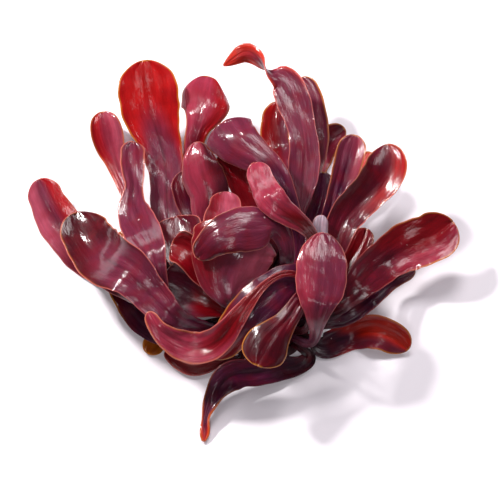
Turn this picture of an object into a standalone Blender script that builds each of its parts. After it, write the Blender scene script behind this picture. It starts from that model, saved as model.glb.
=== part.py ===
"""A tuft of dulse, a red seaweed, resting on a table.

Strap-shaped fronds grow from one low holdfast and arch out over each other. Each frond is drawn
as a route on a sheet that stands square to a sight line, SIGHT above the table. A point of a
route is (right, rise, height, roll): millimetres right of the holdfast and up the sheet,
millimetres above the table, and the turn in degrees of the frond's face about its own route.
All sight lines meet at one eye, EYE_DISTANCE from the sheet's aim point, so a frond that is lifted
along them keeps its place on the sheet. The fronds are listed from the lowest to the topmost, and
each is laid over those before it.
"""

import math
from collections import namedtuple

import bpy
import numpy as np

MM = 0.001
SIGHT = math.radians(62.0)
EYE_DISTANCE = 1500.0
AIM_RIGHT, AIM_RISE = -9.0, 45.0

# The holdfast: a low lumpy cushion
HOLDFAST_RADIUS = 22.0
HOLDFAST_HEIGHT = 15.0
HOLDFAST_FOOT = 5.0
FOOT_HEIGHT = 1.5
HOLDFAST_SIDES = 28
HOLDFAST_SHARES = (0.0, 0.1, 0.25, 0.5, 0.75, 1.0)
ROOT_GAP = 0.4

# The frond's cross-section
STIPE_WIDTH = 4.6
THICKNESS = 1.2
LAYER_GAP = 1.0
TABLE_GAP = 0.15

# Stations along a frond where it is laid, and the coarser ones of its solid
LAID_STATIONS = 64
LAID_ACROSS = 11
BODY_STEP = 11.5
TIP_STATIONS = 4
SOLID_ACROSS = 4

# The sheet's grid, on which the height of what is already laid is kept
CELL = 1.5
SHEET_LEFT, SHEET_RIGHT = -170.0, 150.0
SHEET_LOW, SHEET_HIGH = -110.0, 200.0
EASE_LENGTH = 26.0
SMOOTH_LENGTH = 7.0
ROOT_FREE = 10.0
SETTLE_ROUNDS = 16

Frond = namedtuple("Frond", "name tier side free tip cup ruffle route")

# Each route point is (right, rise, height, width, roll). The last one is the tip.
FRONDS = (
    Frond("amber_bladelet", 0, 202, 0.3, 1.0, 25, (0, 0, 0), (
        (-45, -7, 4, 8, 0), (-62, -8, 3, 13, 0), (-71, -17, 2, 13, 0))),
    Frond("front_rim_bladelet", 0, 238, 0.3, 1.5, 50, (0, 0, 0), (
        (-25, -21, 4, 6, 0), (-34, -25, 3, 7, 0), (-44, -27, 3, 7, 0), (-53, -23, 3, 6, 0),
        (-60, -16, 4, 5, 0))),
    Frond("low_left_frond", 0, 184, 0.35, 1.1, 15, (1.0, 1.5, 0), (
        (-36, -3, 4, 14, 0), (-56, -5, 2, 17, 0), (-70, 1, 2, 19, 0), (-79, 13, 2, 20, 0), (-86, 24, 3, 18, 0),
        (-91, 36, 5, 16, 0))),
    Frond("far_left_frond", 0, 166, 0.35, 1.15, -25, (0.6, 1.5, 0.3), (
        (-42, 9, 4, 9, 0), (-72, 18, 1, 16, 0), (-97, 33, 0, 20, 0), (-110, 43, 1, 23, 0), (-119, 54, 5, 24, 0),
        (-126, 65, 8, 25, -5), (-131, 75, 11, 22, -5), (-136, 87.5, 14, 20, -5))),
    Frond("left_bladelet", 0, 149, 0.35, 1.5, 10, (0, 0, 0), (
        (-62, 24, 10, 6, 0), (-81, 41, 11, 7, 0), (-87, 56, 12, 6, 0))),
    Frond("back_left_frond", 0, 131, 0.35, 1.2, 60, (0.6, 2, 0.2), (
        (-45, 27, 6, 9, 0), (-70, 52, 2, 10, 0), (-86, 88, 0, 10, 0), (-90, 99, 1, 14, 0), (-93, 108, 4, 18, 0),
        (-95.5, 118, 9, 19, 0), (-98, 128, 12, 18, 0))),
    Frond("low_right_frond", 0, 338, 0.35, 1.2, 30, (1.2, 1.5, 0.1), (
        (33, -12.5, 3, 13, 0), (42, -10.5, 2, 17, 0), (51, -7, 1, 17, 0), (62, -4, 7, 20, 0),
        (71, -5, 10, 21, 5), (79, -9, 8, 19, 10), (86, -15, 4, 15, 10))),
    Frond("under_right_frond", 0, 355, 0.35, 1.8, 10, (0.6, 1.5, 0), (
        (40, 2, 4, 9, 0), (53, 9, 6, 14, 0), (65, 19, 8, 14, 0), (78, 28, 12, 11, 0), (90, 33, 16, 9, 0))),
    Frond("far_right_bladelet", 0, 62, 0.35, 1.2, 30, (0.8, 1, 0.5), (
        (20, 40, 5, 9, 0), (28, 88, 0, 15, 0), (33, 104, 3, 18, 0), (39, 112, 9, 16, 0), (48, 118, 12, 13, 0))),
    Frond("right_amber_tip", 0, 46, 0.35, 1.3, 20, (0, 0, 0), (
        (33, 45, 10, 7, 0), (48, 72, 13, 9, 0), (58, 89, 16, 10, 0), (63, 104, 19, 10, 0))),
    Frond("right_hidden_frond", 0, 30, 0.35, 1.1, 25, (0.6, 1.5, 0), (
        (34, 19, 7, 8, 0), (50, 37, 10, 14, 0), (57, 48, 13, 14, 0), (61, 58, 15, 14, 0))),
    Frond("far_right_frond", 0, 12, 0.35, 1.15, 35, (1.2, 1.6, 0.55), (
        (34, 8, 6, 8, 0), (47, 15, 10, 14, 0), (60, 28, 15, 22, 0), (74, 40, 20, 26, 0), (88, 48, 24, 30, 0),
        (99, 52, 27, 30, 0), (113, 62, 29, 25, 0))),
    Frond("back_right_frond", 0, 76, 0.35, 1.4, 30, (0.8, 2, 0.1), (
        (15, 42, 6, 8, 0), (24, 71, 10, 11, 0), (28, 94, 16, 14, 0), (30, 107, 19, 16, 0), (30, 118, 21, 16.5, 0),
        (28.5, 130, 24, 16, 0), (26, 140, 26, 14, 0), (21.5, 148.5, 27, 12, 0))),
    Frond("back_dark_frond", 0, 89, 0.35, 1.6, 40, (0.6, 1.5, 0.6), (
        (6, 41, 4, 8, 0), (12, 63, 1, 12, 0), (11, 85, 0, 15, 0), (8, 99, 3, 18, 0), (6, 112, 9, 18, 0),
        (8, 134, 15, 15, 0))),
    Frond("back_hooded_frond", 1, 126, 0.35, 1.0, -55, (0, 0, 0), (
        (-23, 34, 15, 8, 0), (-38, 58, 18, 12, 0), (-44, 92, 22, 12, 0), (-42.5, 110, 28, 12, 0),
        (-39.5, 120, 34, 17, 0), (-36, 130, 37, 27, 0), (-35.5, 138, 37, 28.5, 0), (-33, 149, 33, 26, 0))),
    Frond("tall_back_frond", 1, 142, 0.35, 1.3, 30, (0.6, 2, 0), (
        (-28, 22, 16, 11, 0), (-50, 45, 16, 18, 0), (-58, 66, 17, 20, 0), (-59, 82, 19, 20, 0),
        (-60, 96, 22, 22, 0), (-63.5, 111, 27, 27, 0), (-68, 126, 33, 34, 0), (-70, 139, 38, 37, 0),
        (-72.5, 159, 45, 34, 0))),
    Frond("inner_back_frond", 1, 110, 0.35, 1.2, 35, (0.8, 1.5, 0), (
        (-17, 36, 17, 9, 0), (-34, 55, 20, 15, 0), (-44, 75, 25, 20, 0), (-47, 93, 28, 20, 0))),
    Frond("hood_lining_frond", 1, 94, 0.35, 0.8, 45, (0.6, 1.5, 0), (
        (0, 36, 18, 9, 0), (0, 58, 24, 18, 0), (-6, 80, 30, 24, 0), (-15, 97, 36, 26, 0), (-20, 108, 38, 24, 0))),
    Frond("inner_right_frond", 1, 60, 0.35, 1.2, 30, (0.6, 1.5, 0), (
        (17, 34, 15, 8, 0), (26, 54, 17, 14, 0), (33, 75, 21, 17, 0), (35, 92, 25, 15, 0))),
    Frond("front_hooked_frond", 0, 320, 0.35, 2.4, 25, (0.5, 1.5, 0.4), (
        (26.5, -18.5, 3, 8, 0), (22, -23.5, 4, 11, 0), (13, -25.5, 5, 14, 0), (3, -27, 7, 16, 0), (-6, -28.5, 8, 17, 0), (-14, -29, 10, 17, 0), (-22, -32, 11, 18, 0),
        (-28.5, -39, 10, 14, 10), (-33.5, -49, 8, 9, 30), (-35.5, -57, 5, 6.5, 50), (-36, -63.5, 3, 6.5, 20),
        (-37, -70, 2, 5, 0))),
    Frond("right_spoon_frond", 1, 43, 0.35, 1.2, 45, (0.6, 1.5, 0.3), (
        (23, 30, 17, 7, 0), (33, 50, 20, 9, 0), (42, 72, 26, 13, 0), (45, 82, 28, 14, 0), (48.5, 92, 31, 17, 0),
        (51, 102, 34, 18, 0), (54.5, 114, 37, 16, 0))),
    Frond("long_twisted_frond", 1, 78, 0.35, 5.0, 22, (0.4, 2, 0.2), (
        (10, 36, 21, 6, 0), (17, 54, 26, 6, 0), (21, 70, 31, 9, 0), (22.5, 85, 35, 17, 0), (23.5, 97, 38, 19.5, 0),
        (23.5, 108, 41, 17.5, 0), (22, 118, 43, 17, 0), (19, 129, 45, 20, 0), (15, 140, 47, 20, 0),
        (10, 148, 48, 17, 15), (3.5, 151, 49, 12, 60), (-1, 156, 49, 11, 115), (-6, 161, 48, 13, 145),
        (-12, 163, 47, 13, 160), (-18, 160, 45, 10, 165), (-25, 155.5, 43, 6, 165))),
    Frond("hooded_frond", 2, 38, 0.35, 0.3, -50, (0, 0, 0), (
        (18, 32, 29, 6, 0), (19, 54, 37, 10, 0), (13, 76, 46, 13, 0), (4, 93, 52, 17, 0), (-8, 103, 54, 22, 0),
        (-18, 111, 54, 28, 0), (-26, 121.5, 51, 33, 0))),
    Frond("right_curled_frond", 1, 24, 0.35, 1.3, 50, (1.0, 1.6, 0.2), (
        (28, 22, 18, 8, 0), (35, 36, 23, 13, 0), (42, 49, 28, 17, 0), (47, 62, 32, 20, 0), (56.5, 74, 36, 22, 0),
        (66, 84, 40, 24, 0), (72, 93, 43, 25, 0), (73, 108.5, 45, 20, 0))),
    Frond("silver_bladelet", 1, 4, 0.35, 1.2, -20, (0, 0, 0), (
        (30, 18, 26, 7, 0), (32, 42, 34, 10, 0), (33, 58, 38, 10, 0), (34, 66, 40, 9, 0))),
    Frond("creased_frond", 1, 158, 0.35, 1.5, -60, (0.5, 1.5, 0), (
        (-28, 26, 20, 8, 0), (-31, 46, 26, 14, 0), (-33, 69, 33, 22, 0), (-34, 81, 37, 25, 0),
        (-37, 89, 39, 25, 0), (-39, 97, 41, 22, 0), (-40, 110, 42, 18, 0))),
    Frond("left_rim_frond", 1, 174, 0.35, 0.8, 45, (1.6, 1.0, 0), (
        (-30, 18, 20, 9, 0), (-44, 36, 26, 20, 0), (-50, 50, 31, 27, 0), (-53, 65, 34, 27, 0))),
    Frond("inner_left_frond", 2, 206, 0.35, 0.7, 55, (0.8, 1, 0.2), (
        (-24, 9, 26, 10, 0), (-34, 14, 30, 21, 0), (-45, 20, 32, 31, 0), (-62, 27, 34, 33, 0))),
    Frond("inner_cupped_frond", 2, 150, 0.35, 0.8, 70, (0.4, 1.5, 0), (
        (-30, 23, 29, 8, 0), (-39, 33, 34, 16, 0), (-44, 42, 38, 20, 0), (-56, 49, 40, 20, 0))),
    Frond("centre_bladelet", 2, 96, 0.35, 1.3, 30, (0.8, 1.5, 0), (
        (-12, 36, 31, 9, 0), (-23, 51, 37, 18, 0), (-26, 60, 42, 22, 0), (-24.5, 68, 45, 20, 0),
        (-23.5, 80, 47, 17, 0))),
    Frond("centre_broad_frond", 2, 178, 0.35, 0.5, -45, (0.6, 1, 0.3), (
        (-23, 16, 45, 15, 0), (-24, 25, 49, 33, 0), (-22, 36, 51, 46, 0), (-19, 47, 51, 52, 0),
        (-14, 62, 50, 48, 0))),
    Frond("left_wavy_frond", 1, 190, 0.3, 1.3, 22, (0.8, 2, 0.3), (
        (-40, 0, 16, 5, 0), (-56, 4, 22, 6, 0), (-62, 20, 28, 9, 0), (-65.5, 36, 31, 13, 0),
        (-69, 47, 33, 19, 0), (-73, 55, 34, 23, 0), (-77.5, 64.5, 34, 21, 0), (-79.5, 72, 34, 17, 5),
        (-79, 81, 34, 12, 25), (-79.5, 91, 33, 14, 15), (-79.5, 100, 32, 15, 0), (-79, 110, 31, 14, 0))),
    Frond("broad_left_frond", 1, 206, 0.35, 1.25, 30, (1.4, 1.4, 0), (
        (-42, -1.5, 15, 12, 0), (-56, 5, 21, 16, 0), (-66, 15, 26, 22, 0), (-74, 24, 28, 24, 0),
        (-82, 32, 28, 30, 0), (-94, 39, 27, 34, 0), (-103, 48, 27, 32, 0), (-108, 56, 27, 29, 0),
        (-112, 68, 27, 26, 0))),
    Frond("centre_arched_frond", 2, 66, 0.3, 1.2, -35, (0.6, 1.5, 0.4), (
        (12, 34, 34, 8, 0), (12, 50, 46, 11, 0), (6, 59, 54, 18, 5), (-4, 59, 58, 26, 10), (-15, 58, 60, 28, 12),
        (-26, 54, 60, 24, 12), (-34, 48, 57, 18, 10), (-41, 40, 52, 14, 5))),
    Frond("centre_folded_frond", 2, 10, 0.4, 1.3, -25, (2.2, 2.0, 0.1), (
        (28, 34, 38, 6, 0), (28, 54, 44, 8, 0), (19, 63, 50, 12, 0), (8.5, 70.5, 56, 17, 0), (2, 78, 59, 18, 0),
        (-2, 86, 59, 16, 0), (-6, 97, 58, 14, 0))),
    Frond("front_streaked_frond", 1, 350, 0.35, 1.5, -25, (0.8, 1.5, 0.2), (
        (28, 10, 26, 12, 0), (26, 23, 36, 18, 0), (15, 25, 44, 24, 0), (2, 16, 45, 28, 0), (-10, 6, 42, 27, 0),
        (-20, -6, 36, 22, 0), (-31, -20, 28, 15, 0))),
    Frond("front_looped_frond", 1, 334, 0.2, 1.5, 20, (0.5, 1.5, 0.6), (
        (29, 14, 28, 4, 0), (24, 27, 42, 4, 0), (13, 31, 50, 4, 0), (2, 26, 51, 4.5, 0), (-6, 18, 49, 6.5, 0),
        (-13, 9.5, 46, 10, 0), (-20, 0, 42, 13.5, 0), (-28, -9, 37, 17, 5), (-38, -14, 32, 20, 12),
        (-48, -13, 28, 19, 12), (-58, -8, 25, 15, 5), (-66, 0, 24, 10, 0), (-70, 8, 24, 7, 0))),
    Frond("front_tongue_frond", 2, 340, 0.35, 1.0, -40, (0.4, 1.5, 0), (
        (25, 13, 38, 7, 0), (24, 17, 45, 9, 0), (16, 7, 48, 12, 0), (9, -2, 46.5, 18, 0), (2.5, -10, 45.5, 26, 0),
        (-5, -24.5, 44.5, 27, 0))),
    Frond("front_standing_frond", 1, 318, 0.4, 1.8, -16, (0.6, 1.2, 0.2), (
        (27, -11, 17, 5.5, 0), (30.5, -4, 24, 8, 0), (31, 2, 29, 12, 0), (31.5, 7, 34, 17, 0), (32, 13, 41, 23, 0),
        (33, 20, 48, 28, 0), (33.6, 27, 54, 31, 0), (34, 35, 59, 31, 0), (34.7, 55.5, 65, 30, 0))),
)


# Places: between the sheet and the table
def sheet_point(right, rise, height):
    """A point of a route as (right, rise, near), where near runs towards the eye."""
    level = math.sin(SIGHT) - (rise - AIM_RISE) * math.cos(SIGHT) / EYE_DISTANCE
    return (right, rise, (height - rise * math.cos(SIGHT)) / level)


def sheet_from_table(x, y, z):
    """The sheet point that a point above the table is seen at."""
    near = z * math.sin(SIGHT) - y * math.cos(SIGHT)
    closer = 1.0 - near / EYE_DISTANCE
    rise = y * math.sin(SIGHT) + z * math.cos(SIGHT)
    return (AIM_RIGHT + (x - AIM_RIGHT) / closer, AIM_RISE + (rise - AIM_RISE) / closer, near)


def table_points(points):
    """Sheet points turned into x, y and z above the table."""
    right, rise, near = np.moveaxis(points, -1, 0)
    closer = 1.0 - near / EYE_DISTANCE
    x = AIM_RIGHT + (right - AIM_RIGHT) * closer
    rise = AIM_RISE + (rise - AIM_RISE) * closer
    y = rise * math.sin(SIGHT) - near * math.cos(SIGHT)
    z = rise * math.cos(SIGHT) + near * math.sin(SIGHT)
    return np.stack([x, y, z], axis=-1)


# The holdfast
def holdfast_radius(share):
    """Radius at a share of the height, on a dome that stands on its widest circle."""
    return HOLDFAST_RADIUS * math.sqrt(1.0 - 0.97 * share ** 2.2)


TIER_SHARES = (0.22, 0.62, 0.93)


def root_points(frond):
    """Where a frond leaves the holdfast, and a point a little way out from there."""
    share = TIER_SHARES[frond.tier]
    turn = math.radians(frond.side)
    lift = (0.15, 0.75, 1.6)[frond.tier]
    found = []
    for out in (ROOT_GAP + 0.9, 7.0):
        reach = holdfast_radius(share) + out
        height = share * HOLDFAST_HEIGHT + out * lift
        found.append(sheet_from_table(reach * math.cos(turn), reach * math.sin(turn), height))
    return found


# Curves
def natural_spline(knots, values, at):
    """The smooth cubic through values at knots that is straight at both ends, read at places at."""
    knots, values, at = np.asarray(knots), np.asarray(values), np.asarray(at)
    count = len(knots)
    steps = np.diff(knots)
    slopes = np.diff(values, axis=0) / steps[:, None]
    system = np.eye(count)
    right = np.zeros_like(values)
    for i in range(1, count - 1):
        system[i, i - 1] = steps[i - 1]
        system[i, i] = 2.0 * (steps[i - 1] + steps[i])
        system[i, i + 1] = steps[i]
        right[i] = 6.0 * (slopes[i] - slopes[i - 1])
    bends = np.linalg.solve(system, right)
    span = np.clip(np.searchsorted(knots, at, side="right") - 1, 0, count - 2)
    step = steps[span][:, None]
    before = (at - knots[span])[:, None]
    after = step - before
    cubic = (bends[span] * after**3 + bends[span + 1] * before**3) / (6.0 * step)
    start = (values[span] / step - bends[span] * step / 6.0) * after
    end = (values[span + 1] / step - bends[span + 1] * step / 6.0) * before
    return cubic + start + end


def smooth_step(share):
    share = np.clip(share, 0.0, 1.0)
    return share * share * (3.0 - 2.0 * share)


def lengths_along(points):
    steps = np.linalg.norm(np.diff(points, axis=0), axis=1)
    return np.concatenate([[0.0], np.cumsum(steps)])


def drawn_route(frond):
    """The frond's centre line, roll and width at even stations, as drawn, before it is laid."""
    drawn = [sheet_point(*point[:3]) for point in frond.route]
    places = np.array(root_points(frond) + drawn)
    widths = [STIPE_WIDTH, STIPE_WIDTH] + [point[3] for point in frond.route]
    rolls = [0.0, 0.0] + [point[4] for point in frond.route]
    knots = lengths_along(places)
    values = np.column_stack([places, np.radians(rolls), widths])
    fine = natural_spline(knots, values, np.linspace(0.0, knots[-1], 8 * LAID_STATIONS))
    along = lengths_along(fine[:, :3])
    even = np.linspace(0.0, along[-1], LAID_STATIONS)
    return np.column_stack([np.interp(even, along, fine[:, k]) for k in range(5)])


# The frond's surface
def half_widths(frond, width, along, length):
    """Half the width at each distance, drawn in to a rounded tip."""
    tip_length = frond.tip * frond.route[-1][3] / 2.0
    into_tip = np.clip((length - along) / tip_length, 0.0, 1.0)
    return 0.5 * width * np.sqrt(np.clip(1.0 - (1.0 - into_tip) ** 2, 0.0, 1.0))


def face_directions(route):
    """Along, across and face directions at each station of a route, with its roll."""
    along = np.gradient(route[:, :3], axis=0)
    along /= np.linalg.norm(along, axis=1, keepdims=True)
    eye = np.array([0.0, 0.0, 1.0])
    face = eye - along * along[:, 2:3]
    face /= np.linalg.norm(face, axis=1, keepdims=True)
    across = np.cross(along, face)
    turn = route[:, 3:4]
    rolled_face = face * np.cos(turn) + across * np.sin(turn)
    rolled_across = across * np.cos(turn) - face * np.sin(turn)
    return along, rolled_across, rolled_face


def blade(frond, route, stations, across_count):
    """The frond's middle surface at the given shares of its length, as rows of sheet points.

    Each cross-section is an arc. It turns most where the frond is widest, so that the stipe is
    flat. The ruffle lifts the two edges in waves that are out of step with each other.
    """
    shares = np.linspace(0.0, 1.0, len(route))
    length = lengths_along(route[:, :3])[-1]

    def held(table):
        return np.column_stack([np.interp(stations, shares, column) for column in table.T])

    centre = held(route)
    _, side, face = (held(found) for found in face_directions(route))
    half = half_widths(frond, centre[:, 4], stations * length, length)[:, None]
    v = np.linspace(-1.0, 1.0, across_count + 1)[None, :]
    turn = math.radians(frond.cup) * half / half.max() + 1e-4
    sideways = half * np.sin(v * turn) / np.sin(turn)
    rise = half * (1.0 - np.cos(v * turn)) / np.sin(turn)
    height, waves, phase = frond.ruffle
    wave = np.sin(2.0 * math.pi * (waves * stations[:, None] + phase) + np.where(v > 0, 2.2, 0.0))
    rise = rise + height * v**2 * wave * smooth_step((stations[:, None] - 0.3) / 0.3)
    return centre[:, None, :3] + sideways[..., None] * side[:, None, :] + rise[..., None] * face[:, None, :]


# Laying the fronds over each other
class Pile:
    """What is already laid, as one low and one high map of the sheet for each piece."""

    def __init__(self):
        self.columns = int((SHEET_RIGHT - SHEET_LEFT) / CELL)
        self.rows = int((SHEET_HIGH - SHEET_LOW) / CELL)
        right = SHEET_LEFT + (np.arange(self.columns) + 0.5) * CELL
        rise = SHEET_LOW + (np.arange(self.rows) + 0.5) * CELL
        x, level = np.meshgrid(right, rise, indexing="ij")
        inside = np.clip(1.0 - (x**2 + (level / 0.9)**2) / HOLDFAST_RADIUS**2, 0.0, 1.0)
        dome = sheet_point(x, level, 0.0)[2] + 1.1 * HOLDFAST_HEIGHT * np.sqrt(inside)
        foot = x**2 + (level / 0.9)**2 < (HOLDFAST_RADIUS + HOLDFAST_FOOT)**2
        dome = np.where(inside > 0.0, dome, sheet_point(x, level, FOOT_HEIGHT)[2])
        self.lows = [np.full_like(dome, -1e3)]
        self.highs = [np.where(foot, dome, -1e3)]

    def cells(self, points):
        column = ((points[..., 0] - SHEET_LEFT) / CELL).astype(int)
        row = ((points[..., 1] - SHEET_LOW) / CELL).astype(int)
        return np.clip(column, 1, self.columns - 2), np.clip(row, 1, self.rows - 2)

    def add(self, points, half):
        """Keeps the lowest and highest reach of this piece in each cell it covers or borders on."""
        column, row = self.cells(points)
        low = np.full((self.columns, self.rows), 1e3)
        high = np.full((self.columns, self.rows), -1e3)
        for right in (-1, 0, 1):
            for up in (-1, 0, 1):
                np.minimum.at(low, (column + right, row + up), points[..., 2] - half)
                np.maximum.at(high, (column + right, row + up), points[..., 2] + half)
        self.lows.append(low)
        self.highs.append(high)

    def shortfall(self, points, half, threads):
        """How far each point must come nearer to the eye.

        Where threads is true the point may pass between pieces, and elsewhere it clears them all.
        """
        column, row = self.cells(points)
        near = points[..., 2]
        table = sheet_point(points[..., 0], points[..., 1], 0.0)[2] + TABLE_GAP
        need = np.maximum(table + half - near, 0.0)
        for _ in range(4):
            for low, high in zip(self.lows, self.highs):
                under, over = low[column, row], high[column, row]
                passes = threads & (near + need + half + LAYER_GAP <= under)
                short = over + half + LAYER_GAP - near
                need = np.where(passes, need, np.maximum(need, short))
        return need


def half_thickness(across_count):
    """Half the thickness at each place across: most in the middle, none at the two edges."""
    v = np.linspace(-1.0, 1.0, across_count + 1)[None, :]
    return 0.5 * THICKNESS * (1.0 - v**2)


def laid_route(frond, pile):
    """The drawn route, eased towards the eye until the frond clears what lies under it."""
    drawn = drawn_route(frond)
    route = drawn.copy()
    lifted = np.zeros(LAID_STATIONS)
    stations = np.linspace(0.0, 1.0, LAID_STATIONS)
    half = half_thickness(LAID_ACROSS)
    threads = (stations < frond.free)[:, None]
    for _ in range(SETTLE_ROUNDS):
        points = blade(frond, route, stations, LAID_ACROSS)
        along = lengths_along(route[:, :3])
        need = pile.shortfall(points, half, threads).max(axis=1)
        need[along < ROOT_FREE] = 0.0
        if need.max() < 0.02:
            break
        apart = along[:, None] - along[None, :]
        ease = np.where(np.abs(apart) < EASE_LENGTH, np.cos(0.5 * math.pi * apart / EASE_LENGTH) ** 2, 0.0)
        lifted += 1.02 * (need[None, :] * ease).max(axis=1)
        blend = np.exp(-0.5 * (apart / SMOOTH_LENGTH) ** 2)
        smooth = blend @ lifted / blend.sum(axis=1)
        route[:, 2] = drawn[:, 2] + smooth * smooth_step(along / ROOT_FREE)
    return route


def lay_fronds():
    """Each frond's final route, in the order of the list."""
    pile = Pile()
    routes = []
    dense = np.linspace(0.0, 1.0, 3 * LAID_STATIONS)
    for frond in FRONDS:
        route = laid_route(frond, pile)
        pile.add(blade(frond, route, dense, 3 * LAID_ACROSS), half_thickness(3 * LAID_ACROSS))
        routes.append(route)
    return routes


# Solids
def solid_stations(frond, length):
    """Even stations along the blade, then closer ones round the tip."""
    tip_share = frond.tip * frond.route[-1][3] / 2.0 / length
    steps = round(length * (1.0 - tip_share) / BODY_STEP)
    body = np.linspace(0.0, 1.0 - tip_share, steps + 1)
    turns = np.linspace(0.0, math.radians(82.0), TIP_STATIONS + 1)[1:]
    tip = 1.0 - tip_share * (1.0 - np.sin(turns))
    return np.concatenate([body, tip])


def lens_solid(points, thickness):
    """A closed skin round a middle surface, thickest along the middle and sharp at the edges."""
    rows, columns = points.shape[:2]
    along = np.gradient(points, axis=0)
    across = np.gradient(points, axis=1)
    facing = np.cross(across, along)
    facing /= np.linalg.norm(facing, axis=2, keepdims=True)
    v = np.linspace(-1.0, 1.0, columns)[None, :, None]
    half = 0.5 * thickness * (1.0 - v**2)
    top = points + half * facing
    under = (points - half * facing)[:, 1:-1]
    vertices = np.concatenate([top.reshape(-1, 3), under.reshape(-1, 3)])
    top_index = np.arange(rows * columns).reshape(rows, columns)
    under_index = top_index.copy()
    under_index[:, 1:-1] = rows * columns + np.arange(rows * (columns - 2)).reshape(rows, -1)
    faces = []
    for i in range(rows - 1):
        for j in range(columns - 1):
            faces.append((top_index[i, j], top_index[i, j + 1], top_index[i + 1, j + 1], top_index[i + 1, j]))
            faces.append((under_index[i, j], under_index[i + 1, j], under_index[i + 1, j + 1], under_index[i, j + 1]))
    for row, turned in ((0, False), (rows - 1, True)):
        loop = [top_index[row, j] for j in range(columns)]
        loop += [under_index[row, j] for j in range(columns - 2, 0, -1)]
        faces.append(tuple(loop) if turned else tuple(reversed(loop)))
    return vertices, faces


def mesh_object(name, vertices, faces, material):
    mesh = bpy.data.meshes.new(name)
    mesh.from_pydata((vertices * MM).tolist(), [], [tuple(int(i) for i in face) for face in faces])
    mesh.validate()
    mesh.materials.append(material)
    mesh.shade_smooth()
    made = bpy.data.objects.new(name, mesh)
    bpy.context.scene.collection.objects.link(made)
    return made


def frond_object(frond, route, material):
    length = lengths_along(route[:, :3])[-1]
    points = blade(frond, route, solid_stations(frond, length), SOLID_ACROSS)
    vertices, faces = lens_solid(table_points(points), THICKNESS)
    return mesh_object(frond.name, vertices, faces, material)


def holdfast_object(material):
    """A dome of rings that flares into a thin flat foot, closed at the top by one face."""
    rings = []
    for share in HOLDFAST_SHARES:
        turn = np.arange(HOLDFAST_SIDES) * 2.0 * math.pi / HOLDFAST_SIDES
        lumps = 1.0 - 0.03 * (1.0 + np.sin(5.0 * turn + 2.0 * share))
        flare = HOLDFAST_FOOT * (1.0 - smooth_step(share * HOLDFAST_HEIGHT / FOOT_HEIGHT))
        reach = (holdfast_radius(share) + flare) * lumps
        height = np.full_like(turn, share * HOLDFAST_HEIGHT)
        rings.append(np.column_stack([reach * np.cos(turn), reach * np.sin(turn), height]))
    vertices = np.concatenate(rings)
    index = np.arange(len(vertices)).reshape(len(HOLDFAST_SHARES), HOLDFAST_SIDES)
    faces = [tuple(reversed(index[0])), tuple(index[-1])]
    for low, high in zip(index[:-1], index[1:]):
        for side in range(HOLDFAST_SIDES):
            after = (side + 1) % HOLDFAST_SIDES
            faces.append((low[side], low[after], high[after], high[side]))
    return mesh_object("holdfast", vertices, faces, material)


# Materials
def plain_material(name, colour, roughness):
    made = bpy.data.materials.new(name)
    made.use_nodes = True
    shader = made.node_tree.nodes["Principled BSDF"]
    shader.inputs["Base Color"].default_value = (*colour, 1.0)
    shader.inputs["Roughness"].default_value = roughness
    shader.inputs["Metallic"].default_value = 0.0
    return made


def main():
    for old in list(bpy.data.objects):
        bpy.data.objects.remove(old)
    frond_red = plain_material("dulse_frond", (0.14, 0.012, 0.03), 0.3)
    holdfast_brown = plain_material("dulse_holdfast", (0.06, 0.012, 0.014), 0.6)
    holdfast_object(holdfast_brown)
    for frond, route in zip(FRONDS, lay_fronds()):
        frond_object(frond, route, frond_red)


main()
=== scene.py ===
"""The looks of a tuft of dulse, a red seaweed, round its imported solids.

Strap-shaped fronds grow from one low holdfast and arch out over each other. Each frond is drawn
as a route on a sheet that stands square to a sight line, SIGHT above the table. A point of a
route is (right, rise, height, width, roll): millimetres right of the holdfast and up the sheet,
millimetres above the table, the blade's width, and the turn in degrees of its face about its own
route. All sight lines meet at one eye, EYE_DISTANCE from the sheet's aim point. The fronds are
listed from the lowest to the topmost, and each is laid over those before it, so they lie just
where the solids do. Every finished blade is a surface of two parameters, u along it and v across.
"""

import math
from collections import namedtuple

import bpy
import numpy as np
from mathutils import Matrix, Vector


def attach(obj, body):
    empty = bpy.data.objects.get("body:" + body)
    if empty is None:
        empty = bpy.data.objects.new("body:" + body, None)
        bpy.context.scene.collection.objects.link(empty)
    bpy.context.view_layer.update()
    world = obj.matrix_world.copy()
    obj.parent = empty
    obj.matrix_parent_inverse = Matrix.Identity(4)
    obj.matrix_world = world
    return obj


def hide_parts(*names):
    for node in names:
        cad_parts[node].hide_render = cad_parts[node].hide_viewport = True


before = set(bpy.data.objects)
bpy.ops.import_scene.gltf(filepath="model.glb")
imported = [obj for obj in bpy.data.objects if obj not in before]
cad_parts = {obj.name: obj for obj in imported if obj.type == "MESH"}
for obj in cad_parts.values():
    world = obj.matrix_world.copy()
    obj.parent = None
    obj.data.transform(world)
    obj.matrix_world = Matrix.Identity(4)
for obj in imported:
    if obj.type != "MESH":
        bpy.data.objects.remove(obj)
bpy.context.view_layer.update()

MM = 0.001
SIGHT = math.radians(62.0)
EYE_DISTANCE = 1500.0
AIM_RIGHT, AIM_RISE = -9.0, 45.0

# The holdfast: a low lumpy cushion
HOLDFAST_RADIUS = 22.0
HOLDFAST_HEIGHT = 15.0
HOLDFAST_FOOT = 5.0
FOOT_HEIGHT = 1.5
ROOT_GAP = 0.4

# The frond's cross-section
STIPE_WIDTH = 4.6
THICKNESS = 1.2
LAYER_GAP = 1.0
TABLE_GAP = 0.15

# Stations along and across a frond, where it is laid
LAID_STATIONS = 64
LAID_ACROSS = 11

# The sheet's grid, on which the height of what is already laid is kept
CELL = 1.5
SHEET_LEFT, SHEET_RIGHT = -170.0, 150.0
SHEET_LOW, SHEET_HIGH = -110.0, 200.0

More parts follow.
